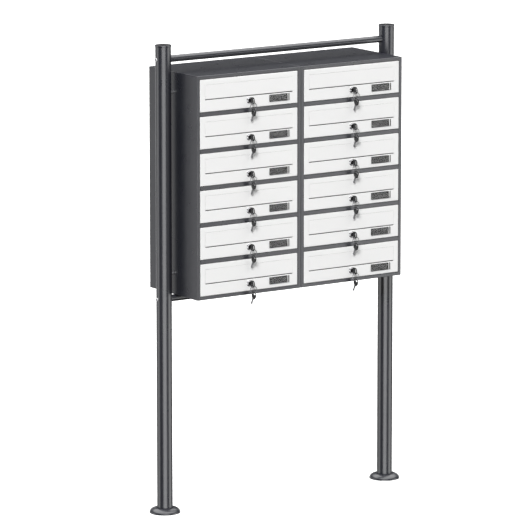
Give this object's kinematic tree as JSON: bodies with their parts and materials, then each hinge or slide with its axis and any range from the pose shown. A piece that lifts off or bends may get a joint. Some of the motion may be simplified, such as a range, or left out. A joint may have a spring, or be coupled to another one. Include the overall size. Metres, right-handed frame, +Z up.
{
  "type": "cluster mailbox unit",
  "caption": "Free-standing group mailbox on two round posts, with side-by-side cabinets of lift-up lockable doors, push-in letter flaps, cam locks and hanging keys.",
  "frame": {"origin": "on the ground, under the middle of the unit's outline with its hanging keys", "axes": "+Z up, -Y the way the doors face, +X to the right seen from the front"},
  "size_m": [0.956, 0.307, 1.5],
  "materials": {
    "anthracite_powder_coat": "satin powder coat, anthracite",
    "white_powder_coat": "satin powder coat, white",
    "cap_black": "fine-grained moulded plastic",
    "lock_black": "black lock face and moulded key bow",
    "key_steel": "nickel plated",
    "lock_chrome": "bright chrome",
    "bolt_steel": "zinc plated",
    "name_card": "grey card behind a clear window",
    "clear_window": "clear acrylic"
  },
  "bodies": {
    "root": {"post_left": "anthracite_powder_coat", "post_right": "anthracite_powder_coat", "cap_left": "cap_black", "cap_right": "cap_black", "foot_left": "anthracite_powder_coat", "foot_right": "anthracite_powder_coat", "crossbar_top": "anthracite_powder_coat", "crossbar_bottom": "anthracite_powder_coat", "casing_left": "anthracite_powder_coat", "casing_right": "anthracite_powder_coat", "shelf_rack_left": "anthracite_powder_coat", "shelf_rack_right": "anthracite_powder_coat"},
    "door_left_1": {"door_left_1": "white_powder_coat"},
    "flap_left_1": {"flap_left_1": "white_powder_coat"},
    "lock_left_1": {"lock_left_1": "lock_black"},
    "keys_left_1": {"keys_left_1": "key_steel"},
    "door_left_2": {"door_left_2": "white_powder_coat"},
    "flap_left_2": {"flap_left_2": "white_powder_coat"},
    "lock_left_2": {"lock_left_2": "lock_black"},
    "keys_left_2": {"keys_left_2": "key_steel"},
    "door_left_3": {"door_left_3": "white_powder_coat"},
    "flap_left_3": {"flap_left_3": "white_powder_coat"},
    "lock_left_3": {"lock_left_3": "lock_black"},
    "keys_left_3": {"keys_left_3": "key_steel"},
    "door_left_4": {"door_left_4": "white_powder_coat"},
    "flap_left_4": {"flap_left_4": "white_powder_coat"},
    "lock_left_4": {"lock_left_4": "lock_black"},
    "keys_left_4": {"keys_left_4": "key_steel"},
    "door_left_5": {"door_left_5": "white_powder_coat"},
    "flap_left_5": {"flap_left_5": "white_powder_coat"},
    "lock_left_5": {"lock_left_5": "lock_black"},
    "keys_left_5": {"keys_left_5": "key_steel"},
    "door_left_6": {"door_left_6": "white_powder_coat"},
    "flap_left_6": {"flap_left_6": "white_powder_coat"},
    "lock_left_6": {"lock_left_6": "lock_black"},
    "keys_left_6": {"keys_left_6": "key_steel"},
    "door_right_1": {"door_right_1": "white_powder_coat"},
    "flap_right_1": {"flap_right_1": "white_powder_coat"},
    "lock_right_1": {"lock_right_1": "lock_black"},
    "keys_right_1": {"keys_right_1": "key_steel"},
    "door_right_2": {"door_right_2": "white_powder_coat"},
    "flap_right_2": {"flap_right_2": "white_powder_coat"},
    "lock_right_2": {"lock_right_2": "lock_black"},
    "keys_right_2": {"keys_right_2": "key_steel"},
    "door_right_3": {"door_right_3": "white_powder_coat"},
    "flap_right_3": {"flap_right_3": "white_powder_coat"},
    "lock_right_3": {"lock_right_3": "lock_black"},
    "keys_right_3": {"keys_right_3": "key_steel"},
    "door_right_4": {"door_right_4": "white_powder_coat"},
    "flap_right_4": {"flap_right_4": "white_powder_coat"},
    "lock_right_4": {"lock_right_4": "lock_black"},
    "keys_right_4": {"keys_right_4": "key_steel"},
    "door_right_5": {"door_right_5": "white_powder_coat"},
    "flap_right_5": {"flap_right_5": "white_powder_coat"},
    "lock_right_5": {"lock_right_5": "lock_black"},
    "keys_right_5": {"keys_right_5": "key_steel"},
    "door_right_6": {"door_right_6": "white_powder_coat"},
    "flap_right_6": {"flap_right_6": "white_powder_coat"},
    "lock_right_6": {"lock_right_6": "lock_black"},
    "keys_right_6": {"keys_right_6": "key_steel"}
  },
  "joints": [
    {"name": "door_hinge_left_1", "type": "hinge", "parent": "root", "child": "door_left_1", "pos_m": [-0.19678, -0.11851, 1.3967], "axis": [-1, 0, 0], "range_deg": [0, 90]},
    {"name": "flap_hinge_left_1", "type": "hinge", "parent": "door_left_1", "child": "flap_left_1", "pos_m": [-0.19678, -0.11901, 1.3806], "axis": [1, 0, 0], "range_deg": [0, 75]},
    {"name": "lock_turn_left_1", "type": "hinge", "parent": "door_left_1", "child": "lock_left_1", "pos_m": [-0.19678, -0.12151, 1.3219], "axis": [0, 1, 0], "range_deg": [0, 90]},
    {"name": "keys_swing_left_1", "type": "hinge", "parent": "lock_left_1", "child": "keys_left_1", "pos_m": [-0.19678, -0.14501, 1.3162], "axis": [-1, 0, 0], "range_deg": [-5, 85]},
    {"name": "door_hinge_left_2", "type": "hinge", "parent": "root", "child": "door_left_2", "pos_m": [-0.19678, -0.11851, 1.28], "axis": [-1, 0, 0], "range_deg": [0, 90]},
    {"name": "flap_hinge_left_2", "type": "hinge", "parent": "door_left_2", "child": "flap_left_2", "pos_m": [-0.19678, -0.11901, 1.2639], "axis": [1, 0, 0], "range_deg": [0, 75]},
    {"name": "lock_turn_left_2", "type": "hinge", "parent": "door_left_2", "child": "lock_left_2", "pos_m": [-0.19678, -0.12151, 1.2052], "axis": [0, 1, 0], "range_deg": [0, 90]},
    {"name": "keys_swing_left_2", "type": "hinge", "parent": "lock_left_2", "child": "keys_left_2", "pos_m": [-0.19678, -0.14501, 1.1995], "axis": [-1, 0, 0], "range_deg": [-5, 85]},
    {"name": "door_hinge_left_3", "type": "hinge", "parent": "root", "child": "door_left_3", "pos_m": [-0.19678, -0.11851, 1.1633], "axis": [-1, 0, 0], "range_deg": [0, 90]},
    {"name": "flap_hinge_left_3", "type": "hinge", "parent": "door_left_3", "child": "flap_left_3", "pos_m": [-0.19678, -0.11901, 1.1472], "axis": [1, 0, 0], "range_deg": [0, 75]},
    {"name": "lock_turn_left_3", "type": "hinge", "parent": "door_left_3", "child": "lock_left_3", "pos_m": [-0.19678, -0.12151, 1.0885], "axis": [0, 1, 0], "range_deg": [0, 90]},
    {"name": "keys_swing_left_3", "type": "hinge", "parent": "lock_left_3", "child": "keys_left_3", "pos_m": [-0.19678, -0.14501, 1.0828], "axis": [-1, 0, 0], "range_deg": [-5, 85]},
    {"name": "door_hinge_left_4", "type": "hinge", "parent": "root", "child": "door_left_4", "pos_m": [-0.19678, -0.11851, 1.0466], "axis": [-1, 0, 0], "range_deg": [0, 90]},
    {"name": "flap_hinge_left_4", "type": "hinge", "parent": "door_left_4", "child": "flap_left_4", "pos_m": [-0.19678, -0.11901, 1.0305], "axis": [1, 0, 0], "range_deg": [0, 75]},
    {"name": "lock_turn_left_4", "type": "hinge", "parent": "door_left_4", "child": "lock_left_4", "pos_m": [-0.19678, -0.12151, 0.9718], "axis": [0, 1, 0], "range_deg": [0, 90]},
    {"name": "keys_swing_left_4", "type": "hinge", "parent": "lock_left_4", "child": "keys_left_4", "pos_m": [-0.19678, -0.14501, 0.9661], "axis": [-1, 0, 0], "range_deg": [-5, 85]},
    {"name": "door_hinge_left_5", "type": "hinge", "parent": "root", "child": "door_left_5", "pos_m": [-0.19678, -0.11851, 0.9299], "axis": [-1, 0, 0], "range_deg": [0, 90]},
    {"name": "flap_hinge_left_5", "type": "hinge", "parent": "door_left_5", "child": "flap_left_5", "pos_m": [-0.19678, -0.11901, 0.9138], "axis": [1, 0, 0], "range_deg": [0, 75]},
    {"name": "lock_turn_left_5", "type": "hinge", "parent": "door_left_5", "child": "lock_left_5", "pos_m": [-0.19678, -0.12151, 0.8551], "axis": [0, 1, 0], "range_deg": [0, 90]},
    {"name": "keys_swing_left_5", "type": "hinge", "parent": "lock_left_5", "child": "keys_left_5", "pos_m": [-0.19678, -0.14501, 0.8494], "axis": [-1, 0, 0], "range_deg": [-5, 85]},
    {"name": "door_hinge_left_6", "type": "hinge", "parent": "root", "child": "door_left_6", "pos_m": [-0.19678, -0.11851, 0.8132], "axis": [-1, 0, 0], "range_deg": [0, 90]},
    {"name": "flap_hinge_left_6", "type": "hinge", "parent": "door_left_6", "child": "flap_left_6", "pos_m": [-0.19678, -0.11901, 0.7971], "axis": [1, 0, 0], "range_deg": [0, 75]},
    {"name": "lock_turn_left_6", "type": "hinge", "parent": "door_left_6", "child": "lock_left_6", "pos_m": [-0.19678, -0.12151, 0.7384], "axis": [0, 1, 0], "range_deg": [0, 90]},
    {"name": "keys_swing_left_6", "type": "hinge", "parent": "lock_left_6", "child": "keys_left_6", "pos_m": [-0.19678, -0.14501, 0.7327], "axis": [-1, 0, 0], "range_deg": [-5, 65]},
    {"name": "door_hinge_right_1", "type": "hinge", "parent": "root", "child": "door_right_1", "pos_m": [0.19678, -0.11851, 1.3967], "axis": [-1, 0, 0], "range_deg": [0, 90]},
    {"name": "flap_hinge_right_1", "type": "hinge", "parent": "door_right_1", "child": "flap_right_1", "pos_m": [0.19678, -0.11901, 1.3806], "axis": [1, 0, 0], "range_deg": [0, 75]},
    {"name": "lock_turn_right_1", "type": "hinge", "parent": "door_right_1", "child": "lock_right_1", "pos_m": [0.19678, -0.12151, 1.3219], "axis": [0, 1, 0], "range_deg": [0, 90]},
    {"name": "keys_swing_right_1", "type": "hinge", "parent": "lock_right_1", "child": "keys_right_1", "pos_m": [0.19678, -0.14501, 1.3162], "axis": [-1, 0, 0], "range_deg": [-5, 85]},
    {"name": "door_hinge_right_2", "type": "hinge", "parent": "root", "child": "door_right_2", "pos_m": [0.19678, -0.11851, 1.28], "axis": [-1, 0, 0], "range_deg": [0, 90]},
    {"name": "flap_hinge_right_2", "type": "hinge", "parent": "door_right_2", "child": "flap_right_2", "pos_m": [0.19678, -0.11901, 1.2639], "axis": [1, 0, 0], "range_deg": [0, 75]},
    {"name": "lock_turn_right_2", "type": "hinge", "parent": "door_right_2", "child": "lock_right_2", "pos_m": [0.19678, -0.12151, 1.2052], "axis": [0, 1, 0], "range_deg": [0, 90]},
    {"name": "keys_swing_right_2", "type": "hinge", "parent": "lock_right_2", "child": "keys_right_2", "pos_m": [0.19678, -0.14501, 1.1995], "axis": [-1, 0, 0], "range_deg": [-5, 85]},
    {"name": "door_hinge_right_3", "type": "hinge", "parent": "root", "child": "door_right_3", "pos_m": [0.19678, -0.11851, 1.1633], "axis": [-1, 0, 0], "range_deg": [0, 90]},
    {"name": "flap_hinge_right_3", "type": "hinge", "parent": "door_right_3", "child": "flap_right_3", "pos_m": [0.19678, -0.11901, 1.1472], "axis": [1, 0, 0], "range_deg": [0, 75]},
    {"name": "lock_turn_right_3", "type": "hinge", "parent": "door_right_3", "child": "lock_right_3", "pos_m": [0.19678, -0.12151, 1.0885], "axis": [0, 1, 0], "range_deg": [0, 90]},
    {"name": "keys_swing_right_3", "type": "hinge", "parent": "lock_right_3", "child": "keys_right_3", "pos_m": [0.19678, -0.14501, 1.0828], "axis": [-1, 0, 0], "range_deg": [-5, 85]},
    {"name": "door_hinge_right_4", "type": "hinge", "parent": "root", "child": "door_right_4", "pos_m": [0.19678, -0.11851, 1.0466], "axis": [-1, 0, 0], "range_deg": [0, 90]},
    {"name": "flap_hinge_right_4", "type": "hinge", "parent": "door_right_4", "child": "flap_right_4", "pos_m": [0.19678, -0.11901, 1.0305], "axis": [1, 0, 0], "range_deg": [0, 75]},
    {"name": "lock_turn_right_4", "type": "hinge", "parent": "door_right_4", "child": "lock_right_4", "pos_m": [0.19678, -0.12151, 0.9718], "axis": [0, 1, 0], "range_deg": [0, 90]},
    {"name": "keys_swing_right_4", "type": "hinge", "parent": "lock_right_4", "child": "keys_right_4", "pos_m": [0.19678, -0.14501, 0.9661], "axis": [-1, 0, 0], "range_deg": [-5, 85]},
    {"name": "door_hinge_right_5", "type": "hinge", "parent": "root", "child": "door_right_5", "pos_m": [0.19678, -0.11851, 0.9299], "axis": [-1, 0, 0], "range_deg": [0, 90]},
    {"name": "flap_hinge_right_5", "type": "hinge", "parent": "door_right_5", "child": "flap_right_5", "pos_m": [0.19678, -0.11901, 0.9138], "axis": [1, 0, 0], "range_deg": [0, 75]},
    {"name": "lock_turn_right_5", "type": "hinge", "parent": "door_right_5", "child": "lock_right_5", "pos_m": [0.19678, -0.12151, 0.8551], "axis": [0, 1, 0], "range_deg": [0, 90]},
    {"name": "keys_swing_right_5", "type": "hinge", "parent": "lock_right_5", "child": "keys_right_5", "pos_m": [0.19678, -0.14501, 0.8494], "axis": [-1, 0, 0], "range_deg": [-5, 85]},
    {"name": "door_hinge_right_6", "type": "hinge", "parent": "root", "child": "door_right_6", "pos_m": [0.19678, -0.11851, 0.8132], "axis": [-1, 0, 0], "range_deg": [0, 90]},
    {"name": "flap_hinge_right_6", "type": "hinge", "parent": "door_right_6", "child": "flap_right_6", "pos_m": [0.19678, -0.11901, 0.7971], "axis": [1, 0, 0], "range_deg": [0, 75]},
    {"name": "lock_turn_right_6", "type": "hinge", "parent": "door_right_6", "child": "lock_right_6", "pos_m": [0.19678, -0.12151, 0.7384], "axis": [0, 1, 0], "range_deg": [0, 90]},
    {"name": "keys_swing_right_6", "type": "hinge", "parent": "lock_right_6", "child": "keys_right_6", "pos_m": [0.19678, -0.14501, 0.7327], "axis": [-1, 0, 0], "range_deg": [-5, 65]}
  ],
  "couplings": [
    {"joint": "keys_swing_left_1", "follows": "door_hinge_left_2", "ratio": 0.93},
    {"joint": "keys_swing_left_2", "follows": "door_hinge_left_3", "ratio": 0.93},
    {"joint": "keys_swing_left_3", "follows": "door_hinge_left_4", "ratio": 0.93},
    {"joint": "keys_swing_left_4", "follows": "door_hinge_left_5", "ratio": 0.93},
    {"joint": "keys_swing_left_5", "follows": "door_hinge_left_6", "ratio": 0.93},
    {"joint": "keys_swing_right_1", "follows": "door_hinge_right_2", "ratio": 0.93},
    {"joint": "keys_swing_right_2", "follows": "door_hinge_right_3", "ratio": 0.93},
    {"joint": "keys_swing_right_3", "follows": "door_hinge_right_4", "ratio": 0.93},
    {"joint": "keys_swing_right_4", "follows": "door_hinge_right_5", "ratio": 0.93},
    {"joint": "keys_swing_right_5", "follows": "door_hinge_right_6", "ratio": 0.93}
  ]
}
